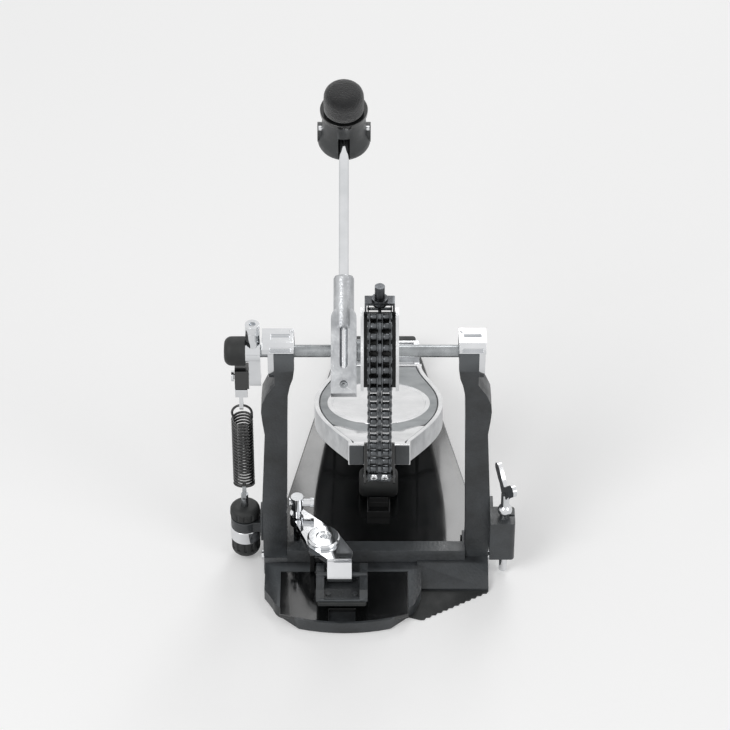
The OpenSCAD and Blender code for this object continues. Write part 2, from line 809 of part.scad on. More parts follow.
module beater_holder() {
    low = -37;
    top = 23;
    tube_top = 58.5;
    color("#8d9092") beater_frame() difference() {
        union() {
            intersection() {
                translate([0, 40, 0]) rotate([90, 0, 0]) linear_extrude(80) union() {
                    translate([-holder_half, low]) square([2 * holder_half, top - low]);
                    translate([0, top]) circle(holder_half);
                }
                side_slab(-20, 20) union() {
                    circle(13);
                    polygon([[-holder_front + 4, low], [2, low], [5, low + 4], [9, -9],
                             [9, 9], [-1, 30], [-3, 36], [-holder_front - 0.5, 36],
                             [-holder_front - 1, 20], [-holder_front - 1, -20],
                             [-holder_front + 1, -26]]);
                }
            }
            translate([0, -shaft_off, 15]) cylinder(h = tube_top - 17, r = 8.2);
            translate([0, -shaft_off, tube_top - 2]) cylinder(h = 2, r1 = 8.2, r2 = 7.2);
        }
        x_rod(-20, 20, 0, 0, axle_r);
        translate([0, -shaft_off, -26]) cylinder(h = 90, r = shaft_d / 2 + run_fit);
        // window that shows the shaft
        translate([0, -shaft_off, 0]) rotate([90, 0, 0]) linear_extrude(20)
            stadium([0, -14.5], [0, 13.5], 3.2);
        translate([0, -20, -30]) rotate([-90, 0, 0]) cylinder(h = 50, r = 3.2);
    }
}

module holder_spacer() {
    color("silver") on_axle() difference() {
        x_rod(beater_x + holder_half, -cam_half, 0, 0, 9.5);
        x_rod(-40, 0, 0, 0, axle_r);
    }
}

// Socket screw through the holder's foot
module holder_screw() {
    color("dimgray") beater_frame() translate([0, -11, -30]) rotate([-90, 0, 0]) difference() {
        cylinder(h = 11, r = 3.2);
        translate([0, 0, -1]) cylinder(h = 3.5, r = 1.8, $fn = 6);
    }
}

module beater_shaft() {
    color("#e8e8e8") beater_frame() {
        translate([0, -shaft_off, -18]) cylinder(h = head_s + 22, r = shaft_d / 2);
        x_rod(-head_d / 2 + 1, head_d / 2 - 1, -shaft_off, head_s, head_pin_r);
    }
}

head_pin_r = 2.5;

// Revolved body about the head's axis, with the arch slot for the shaft
module beater_body() {
    r = head_d / 2;
    color("#4b4d4e") head_frame() difference() {
        union() {
            rotate([90, 0, 0]) rotate_extrude() polygon(concat([[0, -18], [r - 9, -18]],
                arc(r - 6.5, -11.5, 6.5, -90, 0, 6),
                [[r, -8], [r - 1.4, -4], [r - 3, 0], [r - 3.8, 6], [r - 3.8, 14],
                 [r - 3.2, 20], [0, 20]]));
            for (s = [-1, 1]) x_rod(s * 17.75 - 3.75, s * 17.75 + 3.75, 6, 2, 8);
        }
        // arch slot: the shaft tilts in it
        side_slab(-shaft_d / 2 - 0.7, shaft_d / 2 + 0.7) union() {
            circle(shaft_d / 2 + 2.3);
            polygon([[-6.2, 0], [-7, -24], [17.1, -24], [5, 0]]);
        }
        x_rod(-30, 30, 0, 0, head_pin_r + run_fit);
    }
}

module beater_collar() {
    color("#2a2a2a") head_frame() rotate([90, 0, 0]) translate([0, 0, 20]) difference() {
        cylinder(h = 4, r = 19.2);
        translate([0, 0, 1.5]) cylinder(h = 4, r = felt_d / 2 - 2);
    }
}

module beater_felt() {
    r = felt_d / 2;
    color("#0e0e0e") head_frame() rotate([90, 0, 0]) translate([0, 0, 21.5])
        rotate_extrude() polygon(concat([[0, 0], [r - 2, 0], [r - 2, 2.5], [r, 2.5], [r, 19]],
            arc(r - 4, 19, 4, 0, 80, 6), [[0, 24.5]]));
}

// ---- spring side ----

lever_z = axle_h - lever_r;
lever_x0 = spring_x + 4.5;
lever_x1 = left_face - 11;

// Clamp ring on the axle, its screw boss above and its arm below
module spring_lever() {
    color("#e4e4e4") difference() {
        union() {
            x_rod(lever_x0, lever_x1, 0, axle_h, 9);
            translate([(lever_x0 + lever_x1) / 2, 0, axle_h]) cylinder(h = 20.6, r = 5.8);
            side_slab(lever_x0 + 2.6, lever_x1)
                polygon([[-8, axle_h - 3], [-6.4, lever_z], [-4, lever_z - 7], [0, lever_z - 8.6],
                         [4, lever_z - 7], [6.4, lever_z], [8, axle_h - 3]]);
        }
        x_rod(lever_x0 - 1, lever_x1 + 1, 0, axle_h, axle_r);
        x_rod(lever_x0, lever_x1 + 1, 0, lever_z, 2.5);
    }
}

module lever_screw() {
    color("#d8d8d8") translate([(lever_x0 + lever_x1) / 2, 0, axle_h + 20.6]) difference() {
        cylinder(h = 7, r = 5.8);
        translate([0, 0, 3.5]) cylinder(h = 5, r = 3, $fn = 6);
    }
}

// Domed rubber end on the axle
module end_cap() {
    x1 = lever_x0;
    l = 17;
    r = 11.8;
    color("#1d211f") difference() {
        x_profile(0, axle_h) polygon(concat([[0, x1], [r, x1]], [[r, x1 - l + 6]],
            [for (i = [1 : 6]) let (a = 15 * i) [r - 6 + 6 * cos(a), x1 - l + 6 - 6 * sin(a)]],
            [[0, x1 - l]]));
        x_rod(axle_x0, x1 + 1, 0, axle_h, axle_r);
    }
}

// Black block that swivels on the lever's pin
module swivel_block() {
    x0 = spring_x - 4.6;
    x1 = lever_x0 + 2.6 - side_gap;
    color("#161616") difference() {
        side_slab(x0, x1) round_rect(-6.5, lever_z - 9.5, 6.5,
                                     lever_z + 9.5, 2);
        x_rod(x0 - 1, x1 + 1, 0, lever_z, 2.5);
    }
}

ring_r = spring_d / 2 - wire_d / 2;
coil_top = lever_z - 44.5;
coil_low = coil_top - 67.5;
hook_top = coil_top + 5.5 + ring_r;        // highest and lowest places of the wire's line
hook_low = coil_low - 3.5 - 0.55 * ring_r;

// Chrome strap below the block, with the tab that takes the spring's hook
module swivel_hook() {
    color("#e6e6e6") {
        x_rod(spring_x - 7, lever_x1 - 0.2, 0, lever_z, 2.45);
        x_rod(spring_x - 7.6, spring_x - 5.4, 0, lever_z, 4.4);
        side_slab(spring_x - 4.6, spring_x + 5.4)
            polygon([[-6.5, lever_z - 9.5], [-5, lever_z - 18.5], [5, lever_z - 18.5],
                     [6.5, lever_z - 9.5]]);
        side_slab(spring_x - 1.6, spring_x + 1.6) difference() {
            stadium([0, lever_z - 16], [0, hook_top + 1.5], 4.6);
            translate([0, hook_top + 0.6]) circle(1.9);
        }
    }
}

// Spring: one unbroken wire, hook to hook
wire_sides = 6;
rings_per_curl = 8;

// Middle line of the upper hook, then that of the curls and the lower hook
hook_path = concat(
    [for (i = [0 : 9]) let (a = 205 - 20.5 * i)
        [spring_x + ring_r * cos(a), 0, hook_top - ring_r + ring_r * sin(a)]],
    [[spring_x + ring_r, 0, coil_top + 3], [spring_x + ring_r, 0, coil_top + 1.5]]);
wire_path = concat(
    [[spring_x + ring_r, 0, coil_top + 1.5]],
    [for (i = [0 : rings_per_curl * curls]) let (a = 360 * i / rings_per_curl)
        [spring_x + ring_r * cos(a), ring_r * sin(a),
         coil_top + (coil_low - coil_top) * i / (rings_per_curl * curls)]],
    [for (i = [1 : 9]) let (a = -200 * i / 9)
        [spring_x + ring_r * cos(a), 0, hook_low + 0.55 * ring_r * (1 + sin(a))]]);

function unit(v) = v / norm(v);

// Direction of the wire at point i of a path
function wire_dir(path, i) =
    unit(path[min(i + 1, len(path) - 1)] - path[max(i - 1, 0)]);

// Side direction at each ring: outwards from the coil's middle line
function wire_side(path, i) = let (p = path[i], d = wire_dir(path, i),
        o = [p[0] - spring_x, p[1], 0.01 * (p[2] - (coil_top + coil_low) / 2)],
        v = o - d * (o * d)) unit(v);

function wire_pts(path) =
    [for (i = [0 : len(path) - 1]) let (u = wire_side(path, i), v = cross(wire_dir(path, i), u))
        for (k = [0 : wire_sides - 1]) let (a = 360 * k / wire_sides)
            path[i] + (u * cos(a) + v * sin(a)) * wire_d / 2];

function wire_faces(path) = let (last = (len(path) - 1) * wire_sides) concat(
    [for (i = [0 : len(path) - 2], k = [0 : wire_sides - 1])
        let (a = i * wire_sides + k, b = i * wire_sides + (k + 1) % wire_sides)
        each [[a, a + wire_sides, b], [b, a + wire_sides, b + wire_sides]]],
    [for (k = [1 : wire_sides - 2]) [0, k, k + 1]],
    [for (k = [1 : wire_sides - 2]) [last, last + k + 1, last + k]]);

// Least gap of the wire to itself, measured between points half a curl or more apart
wire_gap = min([for (i = [0 : len(wire_path) - 1],
                     j = [i + rings_per_curl / 2 + 1 : len(wire_path) - 1])
    norm(wire_path[i] - wire_path[j])]) - wire_d;
echo(spring_wire_gap = wire_gap);

module wire(path) {
    color("#222222") polyhedron(points = wire_pts(path), faces = wire_faces(path), convexity = 10);
}

// Curls and lower hook in one unbroken wire
module spring() { wire(wire_path); }

// Upper hook, which goes through the swivel's tab
module spring_hook() { wire(hook_path); }

bracket_z = 34;
bracket_t = 10;
bolt_r = 3;
grips = 12;

// Threaded eye bolt through the bracket
module eye_bolt() {
    color("#c9beb6") {
        translate([spring_x, 0, 12]) cylinder(h = hook_low - 20, r = bolt_r);
        side_slab(spring_x - 1.5, spring_x + 1.5) difference() {
            stadium([0, hook_low - 9], [0, hook_low], 4);
            translate([0, hook_low]) circle(wire_d / 2 + side_gap);
        }
    }
}

module upper_knob() {
    r = knob_d / 2;
    h = 11.5;
    color("#1b1d1c") translate([spring_x, 0, bracket_z + bracket_t + side_gap]) difference() {
        rotate_extrude() polygon(concat([[0, 0], [r - 3.5, 0]], arc(r - 3.5, 3.5, 3.5, -90, 0, 4),
            arc(r - 5, h - 5, 5, 0, 90, 6), [[0, h]]));
        translate([0, 0, -1]) cylinder(h = h + 2, r = bolt_r + run_fit);
        for (i = [0 : grips - 1]) rotate(360 * i / grips) translate([r + 1.3, 0, -1])
            cylinder(h = h - 2, r = 2);
    }
}

sleeve_h = 12.4;
lower_knob_h = 17;

module lower_knob() {
    r = knob_d / 2 - 0.5;
    z = bracket_z - sleeve_h - side_gap - lower_knob_h;
    color("#1b1d1c") translate([spring_x, 0, z]) difference() {
        rotate_extrude() polygon(concat([[0, 0], [r - 7, 0]], arc(r - 7, 7, 7, -90, 0, 6),
            [[r, lower_knob_h], [0, lower_knob_h]]));
        translate([0, 0, 12 - z - 1]) cylinder(h = 20, r = bolt_r + run_fit);
        for (i = [0 : grips - 1]) rotate(360 * i / grips) translate([r + 1.2, 0, 8])
            cylinder(h = 12, r = 2);
    }
}

// Bracket on the post's outer side, which the eye bolt runs through
module spring_bracket() {
    out = frame_cx - post_out;
    color("#2b2b2b") difference() {
        union() {
            translate([0, 0, bracket_z]) linear_extrude(bracket_t) union() {
                translate([spring_x, 0]) circle(12);
                translate([spring_x, -10]) square([out - spring_x, 18]);
            }
            translate([out - 2.2, -12, bracket_z - 8]) cube([2.2, 18, 28]);
        }
        translate([spring_x, 0, 20]) cylinder(h = 40, r = bolt_r);
    }
}

// Plain sleeve between the bracket and the lower knob
module knob_sleeve() {
    color("#ececec") translate([spring_x, 0, bracket_z - sleeve_h]) difference() {
        cylinder(h = sleeve_h, r = knob_d / 2);
        translate([0, 0, -1]) cylinder(h = sleeve_h + 2, r = bolt_r);
    }
}

// ---- hoop clamp ----

fulcrum = [-31.8, 32];
nose_pin = [-62, tray_h + hoop_gap + 13];
lever_top = 46;
lever_t = 6;
screw_at = [-68, 1];
disc_at = [-45.8, -31.8];
nose_x = shoe_x - 2;

// Ears on the tray that hold the lever's fulcrum pin
module clamp_base() {
    color("#26292a") {
        difference() {
            union() {
                for (x = [disc_at[0] - 11.5, disc_at[0] + 7.5]) side_slab(x, x + 4)
                    union() {
                        stadium([fulcrum[0], tray_rim_z + 5], fulcrum, 6);
                        translate([fulcrum[0] - 2.1, tray_rim_z]) square([9, 4]);
                    }
            }
            translate([-80, -60, 0]) cube([80, 60, tray_rim_z]);
        }
        x_rod(disc_at[0] - 12.5, disc_at[0] + 12.5, fulcrum[0], fulcrum[1], 2.95);
    }
}

module lever_outline() {
    translate(screw_at) circle(6.2);
    translate(disc_at) circle(14.5);
    polygon([screw_at + [-4, -5], disc_at + [-12, -8], disc_at + [10, 10], screw_at + [5, 4]]);
    polygon([disc_at + [-8, -12], [nose_x - 10, nose_pin[0] + 7], [nose_x + 10, nose_pin[0] + 7],
             [nose_x + 11, nose_pin[0] + 16], disc_at + [13, 6]]);
}

module clamp_lever() {
    t = lever_t;
    color("#dcdcdc") difference() {
        union() {
            translate([0, 0, lever_top - t]) linear_extrude(t) lever_outline();
            // fulcrum boss between the ears
            side_slab(disc_at[0] - 7.2, disc_at[0] + 7.2) union() {
                translate(fulcrum) circle(6);
                polygon([[fulcrum[0] - 6, fulcrum[1]], [fulcrum[0] - 9, lever_top - t + 0.5],
                         [fulcrum[0] + 9, lever_top - t + 0.5], [fulcrum[0] + 6, fulcrum[1]]]);
            }
            // nose bending down to the shoe's pin
            side_slab(nose_x - 10, nose_x + 10) polygon(concat(
                [[nose_pin[0] + 9, lever_top], [nose_pin[0] + 9, lever_top - t - 1],
                 [nose_pin[0] + 5, nose_pin[1] - 4]],
                arc(nose_pin[0], nose_pin[1], 6, -40, -190, 8),
                [[nose_pin[0] - 4.6, lever_top - 6], [nose_pin[0] + 1, lever_top - 1.2]]));
            translate([screw_at[0], screw_at[1], lever_top - 12]) cylinder(h = 12, r = 6.2);
        }
        x_rod(-80, 0, fulcrum[0], fulcrum[1], 3);
        x_rod(-80, 0, nose_pin[0], nose_pin[1], 2.55);
        translate([screw_at[0], screw_at[1], 0]) cylinder(h = 60, r = 3.5 + run_fit);
    }
}

// Big washer and the socket bolt in it
module clamp_disc() {
    color("#f0f0f0") translate([disc_at[0], disc_at[1], lever_top]) difference() {
        rotate_extrude() polygon([[0, 0], [13.5, 0], [13.5, 3], [12.2, 4.4], [6, 4.4],
                                  [5.8, 3], [0, 3]]);
        translate([0, 0, 1]) cylinder(h = 5, r = 3, $fn = 6);
    }
}

// Screw that tips the lever, standing on the pedestal
bar_r = 3.2;
head_z = 51;

module t_screw() {
    color("#d9d4d0") translate([screw_at[0], screw_at[1], seat_h + side_gap])
        cylinder(h = head_z - seat_h - 2 * side_gap, r = 3.5);
}

// Head of the screw, with the bar through it
module t_bar() {
    color("#d9d4d0") translate([screw_at[0], screw_at[1], head_z]) {
        cylinder(h = 13, r = 5.2);
        translate([0, 0, 6.5]) rotate([0, 90, 0]) {
            translate([0, 0, -6.8]) cylinder(h = 20.8, r = bar_r);
            translate([0, 0, 11]) cylinder(h = 3, r = 4);
            translate([0, 0, -6.8]) cylinder(h = 1, r = 3.9);
        }
    }
}

shoe_z = tray_h + hoop_gap;
pad_t = 4;

// Channel shoe on the lever's nose
module clamp_shoe() {
    half = shoe_w / 2;
    z = shoe_z + pad_t;
    color("#2c2e2f") difference() {
        union() {
            translate([shoe_x - half, -84.5, z]) cube([shoe_w, 42, 2]);
            for (s = [-1, 1]) side_slab(s > 0 ? shoe_x + half - 6.5 : shoe_x - half,
                                        s > 0 ? shoe_x + half : shoe_x - half + 6.5)
                polygon([[-84.5, z], [-84.5, z + 4], [-80, z + 9], [-54, z + 11], [-46, z + 7],
                         [-42.5, z]]);
        }
        x_rod(shoe_x - half - 1, shoe_x + half + 1, nose_pin[0], nose_pin[1], 2.5);
    }
    color("#d0d0d0") {
        x_rod(shoe_x - half + 0.5, shoe_x + half - 0.5, nose_pin[0], nose_pin[1], 2.5);
        translate([shoe_x - half + 6.5, -83.5, z + 2]) cube([shoe_w - 13, 11, 1.2]);
        for (s = [-1, 1]) translate([shoe_x + s * 11, -79, z + 3.2]) cylinder(h = 1, r = 2.2);
    }
}

module shoe_pad() {
    half = shoe_w / 2 - 1;
    color("#202020") translate([0, 0, shoe_z]) linear_extrude(pad_t)
        round_rect(shoe_x - half, -86, shoe_x + half, -44, 2);
}

// ---- key ----

key_at = [103.5, -22];

// Sprung clip block on the right post, split down to the key's bore
module key_holder() {
    x0 = frame_cx + post_out;
    z0 = 24;
    h = 40;
    color("#3b3f40") difference() {
        union() {
            translate([0, 0, z0]) linear_extrude(h)
                round_rect(x0 - 4, -33, 112, -11, 3);
            translate([x0, -14, z0]) cube([3, 16, h]);
        }
        translate([key_at[0], key_at[1], z0 - 1]) cylinder(h = h + 2, r = 3.5 + run_fit);
        translate([key_at[0], key_at[1] - 1, z0 + 10]) cube([20, 2, h]);
        side_slab(80, x0) polygon([[-60, 0], [-60, 100], [60, 100], [60, 0]]);
    }
}

// Winged key: square socket below, shank, ball and wings
module drum_key() {
    color("#ececec") translate([key_at[0], key_at[1], 0]) {
        difference() {
            translate([0, 0, 4]) cylinder(h = 84, r = 3.5);
            translate([-1.9, -1.9, 0]) cube([3.8, 3.8, 12]);
        }
        translate([0, 0, 70.5]) sphere(r = 6);
        rotate(20) translate([-1.6, 0, 0]) side_slab(0, 3.2) union() {
            stadium([-15, 104], [-9, 98], 5);
            stadium([15, 104], [9, 98], 5);
            polygon([[-14, 99], [-5, 86], [5, 86], [14, 99], [8, 103], [0, 96], [-8, 103]]);
        }
    }
}

under_sheet();
base_plate();
pedestal();
tray_pad();
left_post();
right_post();
post_bolts();
left_cap();
right_cap();
left_bearing();
right_bearing();
bumper();
bumper_cradle();
heel_plate();
heel_pad();
heel_pin();
footboard();
board_field();
board_oval();
toe_cap();
toe_bracket();
axle();
cam();
cam_strip();
cam_screw();
chain_anchor();
cam_chain();
chain_link_1();
chain_link_2();
chain_link_3();
chain_link_4();
chain_run();
beater_holder();
holder_spacer();
holder_screw();
beater_shaft();
beater_body();
beater_collar();
beater_felt();
spring_lever();
lever_screw();
end_cap();
swivel_block();
swivel_hook();
spring();
spring_hook();
eye_bolt();
upper_knob();
lower_knob();
spring_bracket();
knob_sleeve();
clamp_base();
clamp_lever();
clamp_disc();
t_screw();
t_bar();
clamp_shoe();
shoe_pad();
key_holder();
drum_key();
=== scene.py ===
"""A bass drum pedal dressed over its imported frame."""
import math

import bmesh
import bpy
from mathutils import Matrix, Vector


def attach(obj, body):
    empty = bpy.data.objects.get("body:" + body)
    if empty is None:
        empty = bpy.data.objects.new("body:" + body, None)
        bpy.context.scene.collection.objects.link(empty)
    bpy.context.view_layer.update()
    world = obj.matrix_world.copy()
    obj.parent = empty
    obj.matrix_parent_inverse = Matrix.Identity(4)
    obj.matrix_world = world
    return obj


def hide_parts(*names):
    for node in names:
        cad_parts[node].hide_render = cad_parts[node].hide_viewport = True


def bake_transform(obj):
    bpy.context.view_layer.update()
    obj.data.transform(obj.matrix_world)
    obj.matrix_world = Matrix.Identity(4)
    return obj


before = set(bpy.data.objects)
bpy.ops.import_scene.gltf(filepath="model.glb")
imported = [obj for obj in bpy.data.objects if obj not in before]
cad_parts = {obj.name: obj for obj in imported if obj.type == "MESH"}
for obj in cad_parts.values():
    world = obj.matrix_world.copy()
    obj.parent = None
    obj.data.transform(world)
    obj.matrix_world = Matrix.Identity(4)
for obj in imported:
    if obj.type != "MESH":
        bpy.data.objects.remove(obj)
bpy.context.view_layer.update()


# ---- Rubber sheet ----
# Moulded rubber under the whole pedal, so that it doesn't creep on the floor.
# It is matt black, with a fine cast grain, and its sharp outer edges are painted lighter as a
# highlight.

def linear(code):
    """Turns an sRGB hex colour to linear light."""
    parts = [int(code[i:i + 2], 16) / 255 for i in (1, 3, 5)]
    return [p / 12.92 if p < 0.04045 else ((p + 0.055) / 1.055) ** 2.4 for p in parts] + [1.0]


def add(tree, kind, sockets, **settings):
    """Adds one node, with its settings and links."""
    node = tree.nodes.new("ShaderNode" + kind)
    for name, value in settings.items():
        setattr(node, name, value)
    for name, value in sockets.items():
        if isinstance(value, bpy.types.NodeSocket):
            tree.links.new(value, node.inputs[name])
        else:
            node.inputs[name].default_value = value
    return node


def surface(name, dark, light, gloss, drift=30.0, relief=(), edge_highlight=None, **shader_values):
    """A finish whose shade and gloss drift over drift millimetres, with relief and a painted
    highlight on sharp edges.

    relief holds (pattern, size in mm, depth in mm); the edge colour is a painted highlight laid
    on sharp outer edges.
    A real grain of 0.1 to 0.3 mm is too fine to show, so it is drawn about 1 mm wide."""
    noise_low, noise_high = 0.33, 0.67  # most of a noise's values lie between these
    highlight_start, highlight_full = 0.53, 0.62  # pointiness where the painted edge highlight starts and where it is full
    most_highlight = 0.7
    haze_finer = 2.3  # the gloss drifts over shorter stretches than the shade
    finish = bpy.data.materials.new(name)
    finish.use_nodes = True
    tree = finish.node_tree
    shader = tree.nodes["Principled BSDF"]
    for socket, value in shader_values.items():
        shader.inputs[socket.replace("_", " ")].default_value = value
    place = add(tree, "TexCoord", {}).outputs["Object"]
    cloud = add(tree, "TexNoise", {"Vector": place, "Scale": 1000 / drift, "Detail": 6.0,
                                   "Roughness": 0.62}).outputs["Fac"]
    spread = add(tree, "MapRange", {"Value": cloud, "From Min": noise_low,
                                   "From Max": noise_high})
    shade = add(tree, "Mix", {0: spread.outputs[0], 6: linear(dark), 7: linear(light)},
                data_type="RGBA").outputs[2]
    # painted highlight: where pointiness marks a sharp outer edge, the colour is mixed toward a
    # lighter one
    if edge_highlight:
        edge = add(tree, "NewGeometry", {}).outputs["Pointiness"]
        highlit_edges = add(tree, "MapRange", {"Value": edge, "From Min": highlight_start,
                                        "From Max": highlight_full,
                                        "To Max": most_highlight}).outputs[0]
        shade = add(tree, "Mix", {0: highlit_edges, 6: shade, 7: linear(edge_highlight)},
                    data_type="RGBA").outputs[2]
    tree.links.new(shade, shader.inputs["Base Color"])
    haze = add(tree, "TexNoise", {"Vector": place, "Scale": 1000 * haze_finer / drift,
                                  "Detail": 8.0})
    sheen = add(tree, "MapRange", {"Value": haze.outputs["Fac"], "From Min": 0.3,
                                   "From Max": 0.7, "To Min": gloss[0], "To Max": gloss[1]})
    tree.links.new(sheen.outputs[0], shader.inputs["Roughness"])
    bump = None
    for pattern, size, depth in relief:
        if pattern == "hammered":
            height = add(tree, "TexVoronoi", {"Vector": place, "Scale": 1000 / size,
                                              "Smoothness": 0.7}, feature="SMOOTH_F1")
        else:
            height = add(tree, "TexNoise", {"Vector": place, "Scale": 1000 / size,
                                            "Detail": 3.0})
        inputs = {"Height": height.outputs[0], "Distance": depth / 1000, "Strength": 1.0}
        if bump:
            inputs["Normal"] = bump.outputs[0]
        bump = add(tree, "Bump", inputs)
    if bump:
        tree.links.new(bump.outputs[0], shader.inputs["Normal"])
    return finish


def dress(finish, *nodes, edge=0.3):
    """Gives CAD nodes their finish, and breaks their sharp edges by a small radius in mm."""
    split_gap = 1e-6
    same_plane = math.radians(0.4)
    sharp = math.radians(35)
    for name in nodes:
        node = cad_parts[name]
        for slot in node.material_slots:
            slot.material = finish
        weld = node.modifiers.new("weld", "WELD")
        weld.merge_threshold = split_gap
        flat = node.modifiers.new("flat", "DECIMATE")
        flat.decimate_type = "DISSOLVE"
        flat.angle_limit = same_plane
        round_over = node.modifiers.new("edge", "BEVEL")
        round_over.width = edge / 1000
        round_over.segments = 2
        round_over.limit_method = "ANGLE"
        round_over.angle_limit = sharp
        even = node.modifiers.new("even", "WEIGHTED_NORMAL")
        even.weight = 70


# moulded rubber: matt, with the mould's fine grain, and a painted highlight on its sharp edges
rubber = surface("moulded_rubber", "#151616", "#232525", (0.5, 0.72), edge_highlight="#3c3f40",
                 relief=[("grain", 1.3, 0.10)])
dress(rubber, "under_sheet", edge=0.3)


# ---- Floor plate ----
# Pressed steel sheet with a sunk channel between two wings, painted gloss black.
# The bent edges catch two thin lines of light along the channel.

# stoved enamel: deep black under a clear gloss, with faint orange peel
enamel = surface("stoved_enamel", "#0b0c0c", "#151617", (0.10, 0.22), drift=60,
                 relief=[("grain", 7.0, 0.02)], Coat_Weight=0.6, Coat_Roughness=0.06)
dress(enamel, "base_plate", edge=1.1)


# ---- Crossbar and tray ----
# One aluminium casting carries the posts and the tray that a drum's hoop rests in.
# It has a hammered paint, and a glossy pad lies in the tray.

def casting(node, finish, radius, body, chosen, segments):
    """A copy of a CAD node's solid with its chosen edges rounded as a mould rounds them."""
    same_point = 0.002
    same_plane = math.radians(0.4)
    sharp = math.radians(38)
    form = bmesh.new()
    form.from_mesh(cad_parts[node].data)
    bmesh.ops.scale(form, vec=(1000,) * 3, verts=form.verts)
    bmesh.ops.remove_doubles(form, verts=form.verts, dist=same_point)
    bmesh.ops.dissolve_limit(form, angle_limit=same_plane, verts=form.verts,
                             edges=form.edges)
    edges = [e for e in form.edges if len(e.link_faces) == 2
             and e.calc_face_angle() > sharp and chosen(e)]
    bmesh.ops.bevel(form, geom=edges, offset=radius, offset_type="OFFSET", profile=0.5,
                    segments=segments, affect="EDGES", material=-1, clamp_overlap=True)
    made = piece(node + "_casting", form, finish, body)
    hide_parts(node)
    return made


def piece(name, form, finish, body, smooth=32):
    """Turns a form drawn in millimetres into a finished piece that rides on a body."""
    bmesh.ops.scale(form, vec=(0.001,) * 3, verts=form.verts)
    bmesh.ops.recalc_face_normals(form, faces=form.faces)
    mesh = bpy.data.meshes.new(name)
    form.to_mesh(mesh)
    form.free()
    mesh.materials.append(finish)
    mesh.shade_smooth()
    mesh.set_sharp_from_angle(angle=math.radians(smooth))
    made = bpy.data.objects.new(name, mesh)
    bpy.context.scene.collection.objects.link(made)
    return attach(made, body)


# hammer finish paint: small pits under a dull gloss, the corners painted lighter grey as a
# highlight
hammer_paint = surface("hammer_paint", "#202223", "#34373a", (0.30, 0.48), drift=22,
                       edge_highlight="#5b5f62", relief=[("hammered", 2.0, 0.16), ("grain", 1.1, 0.05)])
dress(hammer_paint, "pedestal", edge=1.0)
dress(enamel, "tray_pad", edge=0.4)


# ---- Heel plate ----
# A cast heel plate with its hinge pin and a rubber pad, screwed to the floor plate.
# The casting is bright aluminium with a hammered skin.

# cast aluminium: silver with a hammered skin, its sharp edges painted near white as a highlight
cast_silver = surface("cast_aluminium", "#9a9c9f", "#c3c5c7", (0.28, 0.42), drift=18,
                      edge_highlight="#e0e1e2", relief=[("hammered", 1.7, 0.14), ("grain", 0.9, 0.04)],
                      Metallic=0.85)
# chrome plate: a mirror with hardly any haze
chrome = surface("chrome_plate", "#cfd1d3", "#dfe0e2", (0.03, 0.09), drift=40, Metallic=1.0)
dress(cast_silver, "heel_plate", edge=0.6)
dress(rubber, "heel_pad", edge=0.5)
dress(chrome, "heel_pin", edge=0.4)


# ---- Bumper ----
# A rubber roll that the footboard's underside meets, held down by a steel cradle.
# A screw through its end shows a small slotted head.

dress(rubber, "bumper", edge=1.6)
dress(enamel, "bumper_cradle", edge=0.3)


# ---- Posts ----
# Two cast posts rise from the crossbar and lean in to the bearings near the top.
# Their long edges are well rounded, and socket screws hold their feet.

foot_z = 13.5
saddle_z = 212


def long_edge(edge):
    """Whether an edge runs up the post, between its foot and the bearing's saddle."""
    a, b = (v.co for v in edge.verts)
    across = abs(a.x - b.x) + abs(a.y - b.y)
    steep = abs(a.z - b.z) > across * 0.3
    return steep and max(a.z, b.z) < saddle_z and min(a.z, b.z) > foot_z


for side in ("left", "right"):
    casting(side + "_post", hammer_paint, 3.6, "frame", long_edge, segments=5)
dress(chrome, "post_bolts", edge=0.4)


# ---- Bearings ----
# A ball bearing sits in each post's saddle under a chromed cap with black windows.
# The seals are satin steel.

# turned steel: satin, with fine turning marks
turned_steel = surface("turned_steel", "#85888a", "#a5a8aa", (0.22, 0.34), drift=14,
                       relief=[("grain", 0.8, 0.02)], Metallic=1.0)
dress(turned_steel, "left_bearing", "right_bearing", edge=0.3)
dress(chrome, "left_cap", "right_cap", edge=0.7)


# ---- Footboard ----
# A cast aluminium board: a hammered skirt, a polished rim, a grey blasted field
# and a bare polished oval. A bracket on its toe takes the chain.

# polished aluminium: bright, with fine rubbing marks
polished = surface("polished_aluminium", "#dcddde", "#f2f2f3", (0.10, 0.2), drift=26,
                   relief=[("grain", 0.9, 0.008)], Metallic=0.9)
# blasted aluminium: even grey with a fine grit
blasted = surface("blasted_aluminium", "#85898b", "#a2a5a7", (0.42, 0.56), drift=24,
                  relief=[("grain", 1.2, 0.07)], Metallic=0.45)
# black paint left in the sunk lines
sunk_black = surface("sunk_black", "#101111", "#1c1d1d", (0.4, 0.6), drift=10,
                     relief=[("grain", 1.0, 0.04)])

# millimetres in the footboard's own frame: its hinge is the origin and its toe lies at
# minus its length; the deck carries the field, the oval and the toe's bright face
board_hinge = (0, 218, 20)
board_slope = math.radians(-25.4)
board_l = 268
deck_z = 5.5
rim_z = 7
hinge_end = -8
to_board = Matrix.Translation(board_hinge) @ Matrix.Rotation(board_slope, 4, "X")
from_board = to_board.inverted()
board = casting("footboard", cast_silver, 0.9, "board",
                lambda e: all((from_board @ v.co).z > rim_z - 0.5 for v in e.verts), segments=3)
board.data.materials.append(polished)
board.data.materials.append(sunk_black)
for face in board.data.polygons:
    centre = from_board @ (face.center * 1000)
    up = (from_board.to_3x3() @ face.normal).z
    if up > 0.5 and centre.z > deck_z + 0.5 and centre.y < hinge_end:
        face.material_index = 1
    elif up > 0.9 and abs(centre.z - deck_z) < 0.5 and centre.y < hinge_end:
        face.material_index = 2


